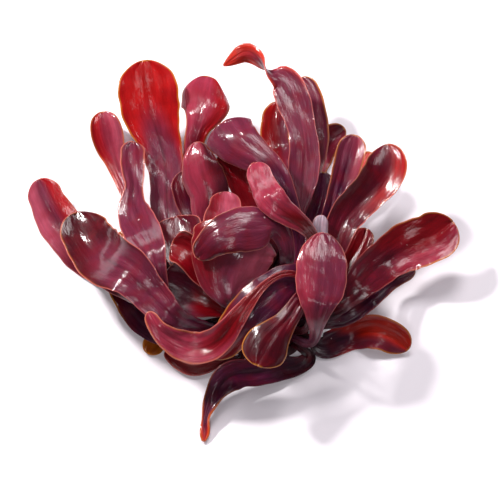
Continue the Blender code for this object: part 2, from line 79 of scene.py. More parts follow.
# Laying, in millimetres: how far a lift eases out, how far it is smoothed, and the free length at
# the root. It ends once no point is SETTLED short, and lifts a little more than what is missing.
EASE_LENGTH = 26.0
SMOOTH_LENGTH = 7.0
ROOT_FREE = 10.0
SETTLE_ROUNDS = 16
SETTLED = 0.02
LIFT_MORE = 1.02

# The pile: its value where nothing is laid, how much the holdfast's dome is squeezed and raised in
# it, and how many times each frond is tried against it
NOTHING = 1e3
DOME_SQUEEZE = 0.9
DOME_RAISE = 1.1
CLEARING_ROUNDS = 4

# The ruffle, from RUFFLE_FROM of the length on, with its two edges EDGES_APART radians out of step
RUFFLE_FROM, RUFFLE_FADE = 0.3, 0.3
EDGES_APART = 2.2

# tier and side are the root's level and bearing on the holdfast. Over share free of its length a
# frond may pass between others. tip is its tip's length over half its last width, cup is the arc of
# its cross-section in degrees, and ruffle is (height, waves, phase).
Frond = namedtuple("Frond", "name tier side free tip cup ruffle route")

# Each route point is (right, rise, height, width, roll). The last one is the tip.
FRONDS = (
    Frond("amber_bladelet", 0, 202, 0.3, 1.0, 25, (0, 0, 0), (
        (-45, -7, 4, 8, 0), (-62, -8, 3, 13, 0), (-71, -17, 2, 13, 0))),
    Frond("front_rim_bladelet", 0, 238, 0.3, 1.5, 50, (0, 0, 0), (
        (-25, -21, 4, 6, 0), (-34, -25, 3, 7, 0), (-44, -27, 3, 7, 0), (-53, -23, 3, 6, 0),
        (-60, -16, 4, 5, 0))),
    Frond("low_left_frond", 0, 184, 0.35, 1.1, 15, (1.0, 1.5, 0), (
        (-36, -3, 4, 14, 0), (-56, -5, 2, 17, 0), (-70, 1, 2, 19, 0), (-79, 13, 2, 20, 0),
        (-86, 24, 3, 18, 0), (-91, 36, 5, 16, 0))),
    Frond("far_left_frond", 0, 166, 0.35, 1.15, -25, (0.6, 1.5, 0.3), (
        (-42, 9, 4, 9, 0), (-72, 18, 1, 16, 0), (-97, 33, 0, 20, 0), (-110, 43, 1, 23, 0),
        (-119, 54, 5, 24, 0), (-126, 65, 8, 25, -5), (-131, 75, 11, 22, -5),
        (-136, 87.5, 14, 20, -5))),
    Frond("left_bladelet", 0, 149, 0.35, 1.5, 10, (0, 0, 0), (
        (-62, 24, 10, 6, 0), (-81, 41, 11, 7, 0), (-87, 56, 12, 6, 0))),
    Frond("back_left_frond", 0, 131, 0.35, 1.2, 60, (0.6, 2, 0.2), (
        (-45, 27, 6, 9, 0), (-70, 52, 2, 10, 0), (-86, 88, 0, 10, 0), (-90, 99, 1, 14, 0),
        (-93, 108, 4, 18, 0), (-95.5, 118, 9, 19, 0), (-98, 128, 12, 18, 0))),
    Frond("low_right_frond", 0, 338, 0.35, 1.2, 30, (1.2, 1.5, 0.1), (
        (33, -12.5, 3, 13, 0), (42, -10.5, 2, 17, 0), (51, -7, 1, 17, 0), (62, -4, 7, 20, 0),
        (71, -5, 10, 21, 5), (79, -9, 8, 19, 10), (86, -15, 4, 15, 10))),
    Frond("under_right_frond", 0, 355, 0.35, 1.8, 10, (0.6, 1.5, 0), (
        (40, 2, 4, 9, 0), (53, 9, 6, 14, 0), (65, 19, 8, 14, 0), (78, 28, 12, 11, 0),
        (90, 33, 16, 9, 0))),
    Frond("far_right_bladelet", 0, 62, 0.35, 1.2, 30, (0.8, 1, 0.5), (
        (20, 40, 5, 9, 0), (28, 88, 0, 15, 0), (33, 104, 3, 18, 0), (39, 112, 9, 16, 0),
        (48, 118, 12, 13, 0))),
    Frond("right_amber_tip", 0, 46, 0.35, 1.3, 20, (0, 0, 0), (
        (33, 45, 10, 7, 0), (48, 72, 13, 9, 0), (58, 89, 16, 10, 0), (63, 104, 19, 10, 0))),
    Frond("right_hidden_frond", 0, 30, 0.35, 1.1, 25, (0.6, 1.5, 0), (
        (34, 19, 7, 8, 0), (50, 37, 10, 14, 0), (57, 48, 13, 14, 0), (61, 58, 15, 14, 0))),
    Frond("far_right_frond", 0, 12, 0.35, 1.15, 35, (1.2, 1.6, 0.55), (
        (34, 8, 6, 8, 0), (47, 15, 10, 14, 0), (60, 28, 15, 22, 0), (74, 40, 20, 26, 0),
        (88, 48, 24, 30, 0), (99, 52, 27, 30, 0), (113, 62, 29, 25, 0))),
    Frond("back_right_frond", 0, 76, 0.35, 1.4, 30, (0.8, 2, 0.1), (
        (15, 42, 6, 8, 0), (24, 71, 10, 11, 0), (28, 94, 16, 14, 0), (30, 107, 19, 16, 0),
        (30, 118, 21, 16.5, 0), (28.5, 130, 24, 16, 0), (26, 140, 26, 14, 0),
        (21.5, 148.5, 27, 12, 0))),
    Frond("back_dark_frond", 0, 89, 0.35, 1.6, 40, (0.6, 1.5, 0.6), (
        (6, 41, 4, 8, 0), (12, 63, 1, 12, 0), (11, 85, 0, 15, 0), (8, 99, 3, 18, 0),
        (6, 112, 9, 18, 0), (8, 134, 15, 15, 0))),
    Frond("back_hooded_frond", 1, 126, 0.35, 1.0, -55, (0, 0, 0), (
        (-23, 34, 15, 8, 0), (-38, 58, 18, 12, 0), (-44, 92, 22, 12, 0), (-42.5, 110, 28, 12, 0),
        (-39.5, 120, 34, 17, 0), (-36, 130, 37, 27, 0), (-35.5, 138, 37, 28.5, 0),
        (-33, 149, 33, 26, 0))),
    Frond("tall_back_frond", 1, 142, 0.35, 1.3, 30, (0.6, 2, 0), (
        (-28, 22, 16, 11, 0), (-50, 45, 16, 18, 0), (-58, 66, 17, 20, 0), (-59, 82, 19, 20, 0),
        (-60, 96, 22, 22, 0), (-63.5, 111, 27, 27, 0), (-68, 126, 33, 34, 0),
        (-70, 139, 38, 37, 0), (-72.5, 159, 45, 34, 0))),
    Frond("inner_back_frond", 1, 110, 0.35, 1.2, 35, (0.8, 1.5, 0), (
        (-17, 36, 17, 9, 0), (-34, 55, 20, 15, 0), (-44, 75, 25, 20, 0), (-47, 93, 28, 20, 0))),
    Frond("hood_lining_frond", 1, 94, 0.35, 0.8, 45, (0.6, 1.5, 0), (
        (0, 36, 18, 9, 0), (0, 58, 24, 18, 0), (-6, 80, 30, 24, 0), (-15, 97, 36, 26, 0),
        (-20, 108, 38, 24, 0))),
    Frond("inner_right_frond", 1, 60, 0.35, 1.2, 30, (0.6, 1.5, 0), (
        (17, 34, 15, 8, 0), (26, 54, 17, 14, 0), (33, 75, 21, 17, 0), (35, 92, 25, 15, 0))),
    Frond("front_hooked_frond", 0, 320, 0.35, 2.4, 25, (0.5, 1.5, 0.4), (
        (26.5, -18.5, 3, 8, 0), (22, -23.5, 4, 11, 0), (13, -25.5, 5, 14, 0), (3, -27, 7, 16, 0),
        (-6, -28.5, 8, 17, 0), (-14, -29, 10, 17, 0), (-22, -32, 11, 18, 0),
        (-28.5, -39, 10, 14, 10), (-33.5, -49, 8, 9, 30), (-35.5, -57, 5, 6.5, 50),
        (-36, -63.5, 3, 6.5, 20), (-37, -70, 2, 5, 0))),
    Frond("right_spoon_frond", 1, 43, 0.35, 1.2, 45, (0.6, 1.5, 0.3), (
        (23, 30, 17, 7, 0), (33, 50, 20, 9, 0), (42, 72, 26, 13, 0), (45, 82, 28, 14, 0),
        (48.5, 92, 31, 17, 0), (51, 102, 34, 18, 0), (54.5, 114, 37, 16, 0))),
    Frond("long_twisted_frond", 1, 78, 0.35, 5.0, 22, (0.4, 2, 0.2), (
        (10, 36, 21, 6, 0), (17, 54, 26, 6, 0), (21, 70, 31, 9, 0), (22.5, 85, 35, 17, 0),
        (23.5, 97, 38, 19.5, 0), (23.5, 108, 41, 17.5, 0), (22, 118, 43, 17, 0),
        (19, 129, 45, 20, 0), (15, 140, 47, 20, 0), (10, 148, 48, 17, 15), (3.5, 151, 49, 12, 60),
        (-1, 156, 49, 11, 115), (-6, 161, 48, 13, 145), (-12, 163, 47, 13, 160),
        (-18, 160, 45, 10, 165), (-25, 155.5, 43, 6, 165))),
    Frond("hooded_frond", 2, 38, 0.35, 0.3, -50, (0, 0, 0), (
        (18, 32, 29, 6, 0), (19, 54, 37, 10, 0), (13, 76, 46, 13, 0), (4, 93, 52, 17, 0),
        (-8, 103, 54, 22, 0), (-18, 111, 54, 28, 0), (-26, 121.5, 51, 33, 0))),
    Frond("right_curled_frond", 1, 24, 0.35, 1.3, 50, (1.0, 1.6, 0.2), (
        (28, 22, 18, 8, 0), (35, 36, 23, 13, 0), (42, 49, 28, 17, 0), (47, 62, 32, 20, 0),
        (56.5, 74, 36, 22, 0), (66, 84, 40, 24, 0), (72, 93, 43, 25, 0), (73, 108.5, 45, 20, 0))),
    Frond("silver_bladelet", 1, 4, 0.35, 1.2, -20, (0, 0, 0), (
        (30, 18, 26, 7, 0), (32, 42, 34, 10, 0), (33, 58, 38, 10, 0), (34, 66, 40, 9, 0))),
    Frond("creased_frond", 1, 158, 0.35, 1.5, -60, (0.5, 1.5, 0), (
        (-28, 26, 20, 8, 0), (-31, 46, 26, 14, 0), (-33, 69, 33, 22, 0), (-34, 81, 37, 25, 0),
        (-37, 89, 39, 25, 0), (-39, 97, 41, 22, 0), (-40, 110, 42, 18, 0))),
    Frond("left_rim_frond", 1, 174, 0.35, 0.8, 45, (1.6, 1.0, 0), (
        (-30, 18, 20, 9, 0), (-44, 36, 26, 20, 0), (-50, 50, 31, 27, 0), (-53, 65, 34, 27, 0))),
    Frond("inner_left_frond", 2, 206, 0.35, 0.7, 55, (0.8, 1, 0.2), (
        (-24, 9, 26, 10, 0), (-34, 14, 30, 21, 0), (-45, 20, 32, 31, 0), (-62, 27, 34, 33, 0))),
    Frond("inner_cupped_frond", 2, 150, 0.35, 0.8, 70, (0.4, 1.5, 0), (
        (-30, 23, 29, 8, 0), (-39, 33, 34, 16, 0), (-44, 42, 38, 20, 0), (-56, 49, 40, 20, 0))),
    Frond("centre_bladelet", 2, 96, 0.35, 1.3, 30, (0.8, 1.5, 0), (
        (-12, 36, 31, 9, 0), (-23, 51, 37, 18, 0), (-26, 60, 42, 22, 0), (-24.5, 68, 45, 20, 0),
        (-23.5, 80, 47, 17, 0))),
    Frond("centre_broad_frond", 2, 178, 0.35, 0.5, -45, (0.6, 1, 0.3), (
        (-23, 16, 45, 15, 0), (-24, 25, 49, 33, 0), (-22, 36, 51, 46, 0), (-19, 47, 51, 52, 0),
        (-14, 62, 50, 48, 0))),
    Frond("left_wavy_frond", 1, 190, 0.3, 1.3, 22, (0.8, 2, 0.3), (
        (-40, 0, 16, 5, 0), (-56, 4, 22, 6, 0), (-62, 20, 28, 9, 0), (-65.5, 36, 31, 13, 0),
        (-69, 47, 33, 19, 0), (-73, 55, 34, 23, 0), (-77.5, 64.5, 34, 21, 0),
        (-79.5, 72, 34, 17, 5), (-79, 81, 34, 12, 25), (-79.5, 91, 33, 14, 15),
        (-79.5, 100, 32, 15, 0), (-79, 110, 31, 14, 0))),
    Frond("broad_left_frond", 1, 206, 0.35, 1.25, 30, (1.4, 1.4, 0), (
        (-42, -1.5, 15, 12, 0), (-56, 5, 21, 16, 0), (-66, 15, 26, 22, 0), (-74, 24, 28, 24, 0),
        (-82, 32, 28, 30, 0), (-94, 39, 27, 34, 0), (-103, 48, 27, 32, 0), (-108, 56, 27, 29, 0),
        (-112, 68, 27, 26, 0))),
    Frond("centre_arched_frond", 2, 66, 0.3, 1.2, -35, (0.6, 1.5, 0.4), (
        (12, 34, 34, 8, 0), (12, 50, 46, 11, 0), (6, 59, 54, 18, 5), (-4, 59, 58, 26, 10),
        (-15, 58, 60, 28, 12), (-26, 54, 60, 24, 12), (-34, 48, 57, 18, 10),
        (-41, 40, 52, 14, 5))),
    Frond("centre_folded_frond", 2, 10, 0.4, 1.3, -25, (2.2, 2.0, 0.1), (
        (28, 34, 38, 6, 0), (28, 54, 44, 8, 0), (19, 63, 50, 12, 0), (8.5, 70.5, 56, 17, 0),
        (2, 78, 59, 18, 0), (-2, 86, 59, 16, 0), (-6, 97, 58, 14, 0))),
    Frond("front_streaked_frond", 1, 350, 0.35, 1.5, -25, (0.8, 1.5, 0.2), (
        (28, 10, 26, 12, 0), (26, 23, 36, 18, 0), (15, 25, 44, 24, 0), (2, 16, 45, 28, 0),
        (-10, 6, 42, 27, 0), (-20, -6, 36, 22, 0), (-31, -20, 28, 15, 0))),
    Frond("front_looped_frond", 1, 334, 0.2, 1.5, 20, (0.5, 1.5, 0.6), (
        (29, 14, 28, 4, 0), (24, 27, 42, 4, 0), (13, 31, 50, 4, 0), (2, 26, 51, 4.5, 0),
        (-6, 18, 49, 6.5, 0), (-13, 9.5, 46, 10, 0), (-20, 0, 42, 13.5, 0), (-28, -9, 37, 17, 5),
        (-38, -14, 32, 20, 12), (-48, -13, 28, 19, 12), (-58, -8, 25, 15, 5), (-66, 0, 24, 10, 0),
        (-70, 8, 24, 7, 0))),
    Frond("front_tongue_frond", 2, 340, 0.35, 1.0, -40, (0.4, 1.5, 0), (
        (25, 13, 38, 7, 0), (24, 17, 45, 9, 0), (16, 7, 48, 12, 0), (9, -2, 46.5, 18, 0),
        (2.5, -10, 45.5, 26, 0), (-5, -24.5, 44.5, 27, 0))),
    Frond("front_standing_frond", 1, 318, 0.4, 1.8, -16, (0.6, 1.2, 0.2), (
        (27, -11, 17, 5.5, 0), (30.5, -4, 24, 8, 0), (31, 2, 29, 12, 0), (31.5, 7, 34, 17, 0),
        (32, 13, 41, 23, 0), (33, 20, 48, 28, 0), (33.6, 27, 54, 31, 0), (34, 35, 59, 31, 0),
        (34.7, 55.5, 65, 30, 0))),
)


# Places: between the sheet and the table
def sheet_point(right, rise, height):
    """A point of a route as (right, rise, near), where near runs towards the eye."""
    level = math.sin(SIGHT) - (rise - AIM_RISE) * math.cos(SIGHT) / EYE_DISTANCE
    return (right, rise, (height - rise * math.cos(SIGHT)) / level)


def sheet_from_table(x, y, z):
    """The sheet point that a point above the table is seen at."""
    near = z * math.sin(SIGHT) - y * math.cos(SIGHT)
    closer = 1.0 - near / EYE_DISTANCE
    rise = y * math.sin(SIGHT) + z * math.cos(SIGHT)
    return (AIM_RIGHT + (x - AIM_RIGHT) / closer, AIM_RISE + (rise - AIM_RISE) / closer, near)


def table_points(points):
    """Sheet points turned into x, y and z above the table."""
    right, rise, near = np.moveaxis(points, -1, 0)
    closer = 1.0 - near / EYE_DISTANCE
    x = AIM_RIGHT + (right - AIM_RIGHT) * closer
    rise = AIM_RISE + (rise - AIM_RISE) * closer
    y = rise * math.sin(SIGHT) - near * math.cos(SIGHT)
    z = rise * math.cos(SIGHT) + near * math.sin(SIGHT)
    return np.stack([x, y, z], axis=-1)


# The holdfast
def holdfast_radius(share):
    """Radius at a share of the height, on a dome that stands on its widest circle."""
    return HOLDFAST_RADIUS * np.sqrt(1.0 - 0.97 * share**2.2)


# Each tier's share of the holdfast's height, how steeply its fronds leave it, and how far out from
# it the first two points of each frond are
TIER_SHARES = (0.22, 0.62, 0.93)
TIER_LIFTS = (0.15, 0.75, 1.6)
ROOT_STARTS = (ROOT_GAP + 0.9, 7.0)


def root_points(frond):
    """Where a frond leaves the holdfast, and a point a little way out from there."""
    share = TIER_SHARES[frond.tier]
    turn = math.radians(frond.side)
    found = []
    for out in ROOT_STARTS:
        reach = holdfast_radius(share) + out
        height = share * HOLDFAST_HEIGHT + out * TIER_LIFTS[frond.tier]
        found.append(sheet_from_table(reach * math.cos(turn), reach * math.sin(turn), height))
    return found


# Curves
def natural_spline(knots, values, at):
    """The smooth cubic through values at knots that is straight at both ends, read at places at."""
    knots, values, at = np.asarray(knots), np.asarray(values), np.asarray(at)
    count = len(knots)
    steps = np.diff(knots)
    slopes = np.diff(values, axis=0) / steps[:, None]
    system = np.eye(count)
    right = np.zeros_like(values)
    for i in range(1, count - 1):
        system[i, i - 1] = steps[i - 1]
        system[i, i] = 2.0 * (steps[i - 1] + steps[i])
        system[i, i + 1] = steps[i]
        right[i] = 6.0 * (slopes[i] - slopes[i - 1])
    bends = np.linalg.solve(system, right)
    span = np.clip(np.searchsorted(knots, at, side="right") - 1, 0, count - 2)
    step = steps[span][:, None]
    before = (at - knots[span])[:, None]
    after = step - before
    cubic = (bends[span] * after**3 + bends[span + 1] * before**3) / (6.0 * step)
    start = (values[span] / step - bends[span] * step / 6.0) * after
    end = (values[span + 1] / step - bends[span + 1] * step / 6.0) * before
    return cubic + start + end


def smooth_step(share):
    """0 to 1 with a level start and end, as 3 squares less 2 cubes of the share."""
    share = np.clip(share, 0.0, 1.0)
    return share * share * (3.0 - 2.0 * share)


def lengths_along(points):
    """The distance to each point along the line through them all."""
    steps = np.linalg.norm(np.diff(points, axis=0), axis=1)
    return np.concatenate([[0.0], np.cumsum(steps)])


def drawn_route(frond):
    """The frond's centre line, roll and width at even stations, as drawn, before it is laid."""
    drawn = [sheet_point(*point[:3]) for point in frond.route]
    places = np.array(root_points(frond) + drawn)
    widths = [STIPE_WIDTH, STIPE_WIDTH] + [point[3] for point in frond.route]
    rolls = [0.0, 0.0] + [point[4] for point in frond.route]
    knots = lengths_along(places)
    values = np.column_stack([places, np.radians(rolls), widths])
    fine = natural_spline(knots, values, np.linspace(0.0, knots[-1], 8 * LAID_STATIONS))
    along = lengths_along(fine[:, :3])
    even = np.linspace(0.0, along[-1], LAID_STATIONS)
    return np.column_stack([np.interp(even, along, fine[:, k]) for k in range(5)])


# The frond's surface
def half_widths(frond, width, along, length):
    """Half the width at each distance, drawn in to a rounded tip."""
    tip_length = frond.tip * frond.route[-1][3] / 2.0
    into_tip = np.clip((length - along) / tip_length, 0.0, 1.0)
    return 0.5 * width * np.sqrt(np.clip(1.0 - (1.0 - into_tip) ** 2, 0.0, 1.0))


def face_directions(route):
    """Along, across and face directions at each station of a route, with its roll."""
    along = np.gradient(route[:, :3], axis=0)
    along /= np.linalg.norm(along, axis=1, keepdims=True)
    eye = np.array([0.0, 0.0, 1.0])
    face = eye - along * along[:, 2:3]
    face /= np.linalg.norm(face, axis=1, keepdims=True)
    across = np.cross(along, face)
    turn = route[:, 3:4]
    rolled_face = face * np.cos(turn) + across * np.sin(turn)
    rolled_across = across * np.cos(turn) - face * np.sin(turn)
    return along, rolled_across, rolled_face


def held_along(route, stations):
    """A route's places and widths, its side and its face, read at shares of its length."""
    shares = np.linspace(0.0, 1.0, len(route))
    _, side, face = face_directions(route)
    return [
        np.column_stack([np.interp(stations, shares, column) for column in table.T])
        for table in (route, side, face)]


def arched(frond, half, v):
    """Sideways and rise of each cross-section, bent to an arc, and how far the arc turns.

    It turns most where the frond is widest, so that the stipe is flat.
    """
    turn = math.radians(frond.cup) * half / half.max() + 1e-4
    sideways = half * np.sin(v * turn) / np.sin(turn)
    return sideways, half * (1.0 - np.cos(v * turn)) / np.sin(turn), turn


def ruffled(frond, u, v):
    """How far the ruffle lifts the two edges, in waves that are out of step with each other."""
    height, waves, phase = frond.ruffle
    wave = np.sin(2.0 * math.pi * (waves * u + phase) + np.where(v > 0, EDGES_APART, 0.0))
    return height * v**2 * wave * smooth_step((u - RUFFLE_FROM) / RUFFLE_FADE)


def placed(centre, side, face, sideways, rise):
    """The points at sideways and rise from a centre line, as rows of sheet points."""
    across = sideways[..., None] * side[:, None, :]
    return centre[:, None, :3] + across + rise[..., None] * face[:, None, :]


def blade(frond, route, stations, across_count):
    """The laid middle surface at the given shares of its length: arcs with a ruffle."""
    length = lengths_along(route[:, :3])[-1]
    centre, side, face = held_along(route, stations)
    half = half_widths(frond, centre[:, 4], stations * length, length)[:, None]
    v = np.linspace(-1.0, 1.0, across_count + 1)[None, :]
    sideways, rise, _ = arched(frond, half, v)
    rise = rise + ruffled(frond, stations[:, None], v)
    return placed(centre, side, face, sideways, rise)


# Laying the fronds over each other
class Pile:
    """What is already laid, as one low and one high map of the sheet for each piece."""

    def __init__(self):
        self.columns = int((SHEET_RIGHT - SHEET_LEFT) / CELL)
        self.rows = int((SHEET_HIGH - SHEET_LOW) / CELL)
        right = SHEET_LEFT + (np.arange(self.columns) + 0.5) * CELL
        rise = SHEET_LOW + (np.arange(self.rows) + 0.5) * CELL
        x, level = np.meshgrid(right, rise, indexing="ij")
        apart = x**2 + (level / DOME_SQUEEZE)**2
        inside = np.clip(1.0 - apart / HOLDFAST_RADIUS**2, 0.0, 1.0)
        dome = sheet_point(x, level, 0.0)[2] + DOME_RAISE * HOLDFAST_HEIGHT * np.sqrt(inside)
        foot = apart < (HOLDFAST_RADIUS + HOLDFAST_FOOT)**2
        dome = np.where(inside > 0.0, dome, sheet_point(x, level, FOOT_HEIGHT)[2])
        self.lows = [np.full_like(dome, -NOTHING)]
        self.highs = [np.where(foot, dome, -NOTHING)]

    def cells(self, points):
        """The column and row of the cell that each point is in."""
        column = ((points[..., 0] - SHEET_LEFT) / CELL).astype(int)
        row = ((points[..., 1] - SHEET_LOW) / CELL).astype(int)
        return np.clip(column, 1, self.columns - 2), np.clip(row, 1, self.rows - 2)

    def add(self, points, half):
        """Keeps the lowest and highest reach of this piece in each cell it covers or borders on."""
        column, row = self.cells(points)
        low = np.full((self.columns, self.rows), NOTHING)
        high = np.full((self.columns, self.rows), -NOTHING)
        for right in (-1, 0, 1):
            for up in (-1, 0, 1):
                np.minimum.at(low, (column + right, row + up), points[..., 2] - half)
                np.maximum.at(high, (column + right, row + up), points[..., 2] + half)
        self.lows.append(low)
        self.highs.append(high)

    def shortfall(self, points, half, threads):
        """How far each point must come nearer to the eye.

        Where threads is true the point may pass between pieces, and elsewhere it clears them all.
        """
        column, row = self.cells(points)
        near = points[..., 2]
        table = sheet_point(points[..., 0], points[..., 1], 0.0)[2] + TABLE_GAP
        need = np.maximum(table + half - near, 0.0)
        for _ in range(CLEARING_ROUNDS):
            for low, high in zip(self.lows, self.highs):
                under, over = low[column, row], high[column, row]
                passes = threads & (near + need + half + LAYER_GAP <= under)
                short = over + half + LAYER_GAP - near
                need = np.where(passes, need, np.maximum(need, short))
        return need


def half_thickness(across_count):
    """Half the thickness at each place across: most in the middle, none at the two edges."""
    v = np.linspace(-1.0, 1.0, across_count + 1)[None, :]
    return 0.5 * THICKNESS * (1.0 - v**2)


def laid_route(frond, pile):
    """The drawn route, eased towards the eye until the frond clears what lies under it."""
    drawn = drawn_route(frond)
    route = drawn.copy()
    lifted = np.zeros(LAID_STATIONS)
    stations = np.linspace(0.0, 1.0, LAID_STATIONS)
    half = half_thickness(LAID_ACROSS)
    threads = (stations < frond.free)[:, None]
    for _ in range(SETTLE_ROUNDS):
        points = blade(frond, route, stations, LAID_ACROSS)
        along = lengths_along(route[:, :3])
        need = pile.shortfall(points, half, threads).max(axis=1)
        need[along < ROOT_FREE] = 0.0
        if need.max() < SETTLED:
            break
        apart = along[:, None] - along[None, :]
        ease = np.cos(0.5 * math.pi * apart / EASE_LENGTH) ** 2
        ease = np.where(np.abs(apart) < EASE_LENGTH, ease, 0.0)
        lifted += LIFT_MORE * (need[None, :] * ease).max(axis=1)
        blend = np.exp(-0.5 * (apart / SMOOTH_LENGTH) ** 2)
        smooth = blend @ lifted / blend.sum(axis=1)
        route[:, 2] = drawn[:, 2] + smooth * smooth_step(along / ROOT_FREE)
    return route


def lay_fronds():
    """Each frond's final route, in the order of the list."""
    pile = Pile()
    routes = []
    dense = np.linspace(0.0, 1.0, 3 * LAID_STATIONS)
    for frond in FRONDS:
        route = laid_route(frond, pile)
        pile.add(blade(frond, route, dense, 3 * LAID_ACROSS), half_thickness(3 * LAID_ACROSS))
        routes.append(route)
    return routes


# Colours of dulse, as sRGB hex
def linear(code):
    """One hex colour turned from sRGB to linear light, as an array of red, green and blue."""
    parts = np.array([int(code[k:k + 2], 16) for k in (0, 2, 4)]) / 255.0
    return np.where(parts <= 0.04045, parts / 12.92, ((parts + 0.055) / 1.055) ** 2.4)


NIGHT = linear("22040f")
PLUM = linear("420f28")
WINE = linear("3e0410")
MAROON = linear("4c0718")
MAUVE = linear("601e32")
ROSE = linear("86273a")
CRIMSON = linear("6c040e")
PINK = linear("9c4254")
SCARLET = linear("940709")
FLAME = linear("b4261a")
RUST = linear("9c1a0c")
AMBER = linear("a05010")
SILVER = linear("9a8490")
RIM_AMBER = linear("a4661a")
RIM_PINK = linear("b45c56")
SALT = linear("d8b4b4")

# foot, body and head are the colours along a frond, left and right tint one side of its upper part.
# The head colour starts at share head_from. amber and pale are how strongly the rim shows each, and
# crease is how sharply the frond folds along its middle, and how much it deepens the painted shade
# there.
Look = namedtuple("Look", "foot body head head_from left right amber pale crease")
LOOKS = {
    "amber_bladelet": Look(RUST, AMBER, AMBER, 0.6, None, None, 0.8, 0.0, 0.0),
    "front_rim_bladelet": Look(NIGHT, CRIMSON, CRIMSON, 0.6, None, None, 0.1, 0.7, 0.0),
    "low_left_frond": Look(NIGHT, PLUM, MAROON, 0.7, None, None, 1.0, 0.0, 0.2),
    "far_left_frond": Look(NIGHT, MAROON, MAUVE, 0.72, PINK, SCARLET, 0.3, 0.9, 0.1),
    "left_bladelet": Look(RUST, AMBER, AMBER, 0.5, None, None, 0.6, 0.0, 0.0),
    "back_left_frond": Look(NIGHT, MAUVE, ROSE, 0.55, SCARLET, PINK, 0.6, 0.4, 0.9),
    "low_right_frond": Look(NIGHT, PLUM, RUST, 0.42, RUST, MAUVE, 1.0, 0.3, 0.1),
    "under_right_frond": Look(NIGHT, PLUM, MAUVE, 0.8, None, None, 0.3, 0.6, 0.0),
    "far_right_bladelet": Look(NIGHT, MAROON, MAROON, 0.7, None, ROSE, 0.7, 0.4, 0.0),
    "right_amber_tip": Look(NIGHT, RUST, FLAME, 0.6, None, None, 1.0, 0.0, 0.0),
    "right_hidden_frond": Look(NIGHT, CRIMSON, CRIMSON, 0.5, None, None, 0.3, 0.2, 0.0),
    "far_right_frond": Look(NIGHT, MAROON, CRIMSON, 0.6, CRIMSON, ROSE, 0.9, 0.5, 0.3),
    "back_right_frond": Look(NIGHT, MAROON, MAUVE, 0.7, None, None, 0.9, 0.4, 0.2),
    "back_dark_frond": Look(NIGHT, MAROON, CRIMSON, 0.6, SCARLET, MAUVE, 0.9, 0.2, 0.2),
    "back_hooded_frond": Look(NIGHT, MAROON, ROSE, 0.65, None, SCARLET, 1.0, 0.3, 0.0),
    "tall_back_frond": Look(PLUM, MAUVE, SCARLET, 0.72, None, None, 1.0, 0.2, 0.6),
    "inner_back_frond": Look(NIGHT, PLUM, MAROON, 0.7, None, None, 0.0, 0.4, 0.2),
    "hood_lining_frond": Look(NIGHT, MAROON, CRIMSON, 0.5, None, None, 0.0, 0.2, 0.0),
    "inner_right_frond": Look(NIGHT, PLUM, PLUM, 0.7, None, None, 0.5, 0.2, 0.2),
    "front_hooked_frond": Look(NIGHT, PLUM, FLAME, 0.88, None, None, 0.6, 0.2, 0.3),
    "right_spoon_frond": Look(NIGHT, PLUM, MAUVE, 0.75, None, ROSE, 0.7, 0.4, 0.0),
    "long_twisted_frond": Look(NIGHT, MAUVE, FLAME, 0.82, None, None, 0.2, 0.8, 0.3),
    "hooded_frond": Look(PLUM, PLUM, MAUVE, 0.6, None, None, 0.1, 0.6, 0.0),
    "right_curled_frond": Look(NIGHT, MAROON, MAROON, 0.7, None, SCARLET, 0.5, 0.9, 0.0),
    "silver_bladelet": Look(PLUM, MAUVE, SILVER, 0.5, None, None, 0.0, 0.5, 0.0),
    # creased_frond: the left side's ROSE is painted light on the lit face of the fold, and the
    # right side's NIGHT is painted shade on the face turned away
    "creased_frond": Look(PLUM, MAROON, ROSE, 0.6, ROSE, NIGHT, 0.2, 0.7, 0.9),
    "left_rim_frond": Look(NIGHT, MAROON, MAROON, 0.7, None, None, 0.1, 0.9, 0.0),
    "inner_left_frond": Look(NIGHT, CRIMSON, MAUVE, 0.6, None, MAROON, 0.5, 0.6, 0.2),
    "inner_cupped_frond": Look(NIGHT, CRIMSON, CRIMSON, 0.5, None, None, 0.2, 0.9, 0.0),
    "centre_bladelet": Look(PLUM, ROSE, PINK, 0.6, CRIMSON, None, 0.1, 0.9, 0.2),
    "centre_broad_frond": Look(NIGHT, MAUVE, MAUVE, 0.5, CRIMSON, PINK, 0.3, 0.7, 0.0),
    "left_wavy_frond": Look(NIGHT, MAUVE, MAUVE, 0.8, None, None, 0.3, 0.9, 0.1),
    "broad_left_frond": Look(PLUM, MAUVE, WINE, 0.72, None, None, 0.5, 0.9, 0.2),
    "centre_arched_frond": Look(PLUM, MAUVE, MAROON, 0.8, None, None, 0.3, 1.0, 0.0),
    "centre_folded_frond": Look(NIGHT, CRIMSON, ROSE, 0.6, ROSE, None, 0.0, 0.9, 0.3),
    "front_streaked_frond": Look(NIGHT, PLUM, CRIMSON, 0.8, None, MAROON, 0.9, 0.3, 0.1),
    "front_looped_frond": Look(MAROON, CRIMSON, ROSE, 0.66, None, None, 0.6, 0.8, 0.0),
    "front_tongue_frond": Look(MAUVE, MAROON, WINE, 0.65, None, None, 1.0, 0.3, 0.0),
    # front_standing_frond: the left side's ROSE is painted light, a lighter lit half
    "front_standing_frond": Look(PLUM, MAUVE, MAUVE, 0.3, ROSE, None, 0.2, 1.0, 0.1),
}

# Where a change along a blade starts and how long it takes, as shares of the length: the body's
# colour, the head's, a side's (which starts before the head's), the two rims' and the painted
# shade's end
BODY_FROM, BODY_FADE = 0.05, 0.4
HEAD_FADE = 0.17
SIDE_LEAD, SIDE_FADE = 0.12, 0.2
PALE_FROM, AMBER_FROM, RIM_FADE = 0.25, 0.55, 0.3
PAINTED_SHADE_END, PAINTED_SHADE_FADE = 0.95, 0.3

# The same across it, as shares of half its width, and how far the head's colour runs down the edges
SIDE_MIDDLE, SIDE_SOFT = 0.05, 0.5
PAINTED_SHADE_WIDTH, GROOVE_WIDTH = 0.06, 0.09
HEAD_ARCH = 0.22

# How much of a side's tint covers the blade, how dark the painted shade along its middle is, and
# how much darker that painted shade is in a crease
SIDE_COVER = 0.85
MIDDLE_PAINTED_SHADE, CREASE_PAINTED_SHADE = 0.15, 0.5

